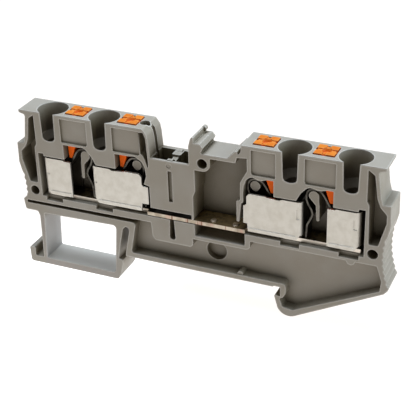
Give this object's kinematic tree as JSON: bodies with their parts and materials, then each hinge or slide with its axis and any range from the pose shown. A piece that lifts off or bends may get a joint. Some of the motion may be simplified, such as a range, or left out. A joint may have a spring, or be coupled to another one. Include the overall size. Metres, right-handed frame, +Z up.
{
  "type": "feed-through terminal block",
  "caption": "Rail-mounted feed-through terminal block, open on one side, with push-in spring clamps over a flat current bar and orange release buttons",
  "frame": {"origin": "middle of the block's length and width, on the face that rests on the rail's top, where the rail_seat mount is", "axes": "+X along the block, from the end over the foot loop to the end over the rail hook; +Y through its width, from the open side to the closed side; +Z up, away from the rail"},
  "size_m": [0.0776, 0.0071, 0.0355],
  "materials": {
    "grey_polyamide": "fine moulded matte",
    "tinned_copper": "tin-plated copper, bare at the sheared edges",
    "tinned_sheet": "dull tin plating with faint rolling lines",
    "spring_steel": "bright rolled strip",
    "orange_polyamide": "moulded semi-matte"
  },
  "bodies": {
    "block": {"housing": "grey_polyamide", "current_bar": "tinned_copper", "outer_left_cage": "tinned_sheet", "inner_left_cage": "tinned_sheet", "outer_right_cage": "tinned_sheet", "inner_right_cage": "tinned_sheet", "outer_left_spring": "spring_steel", "inner_left_spring": "spring_steel", "outer_right_spring": "spring_steel", "inner_right_spring": "spring_steel"},
    "outer_left_push": {"outer_left_button": "orange_polyamide"},
    "inner_left_push": {"inner_left_button": "orange_polyamide"},
    "outer_right_push": {"outer_right_button": "orange_polyamide"},
    "inner_right_push": {"inner_right_button": "orange_polyamide"}
  },
  "joints": [
    {"name": "outer_left_press", "type": "slide", "parent": "block", "child": "outer_left_push", "axis": [0, 0, -1], "range_m": [0, 0.0015], "stiffness_N_per_m": 4000, "springref_m": -0.0006, "deforming": ["outer_left_spring"]},
    {"name": "inner_left_press", "type": "slide", "parent": "block", "child": "inner_left_push", "axis": [0, 0, -1], "range_m": [0, 0.0015], "stiffness_N_per_m": 4000, "springref_m": -0.0006, "deforming": ["inner_left_spring"]},
    {"name": "outer_right_press", "type": "slide", "parent": "block", "child": "outer_right_push", "axis": [0, 0, -1], "range_m": [0, 0.0015], "stiffness_N_per_m": 4000, "springref_m": -0.0006, "deforming": ["outer_right_spring"]},
    {"name": "inner_right_press", "type": "slide", "parent": "block", "child": "inner_right_push", "axis": [0, 0, -1], "range_m": [0, 0.0015], "stiffness_N_per_m": 4000, "springref_m": -0.0006, "deforming": ["inner_right_spring"]}
  ]
}
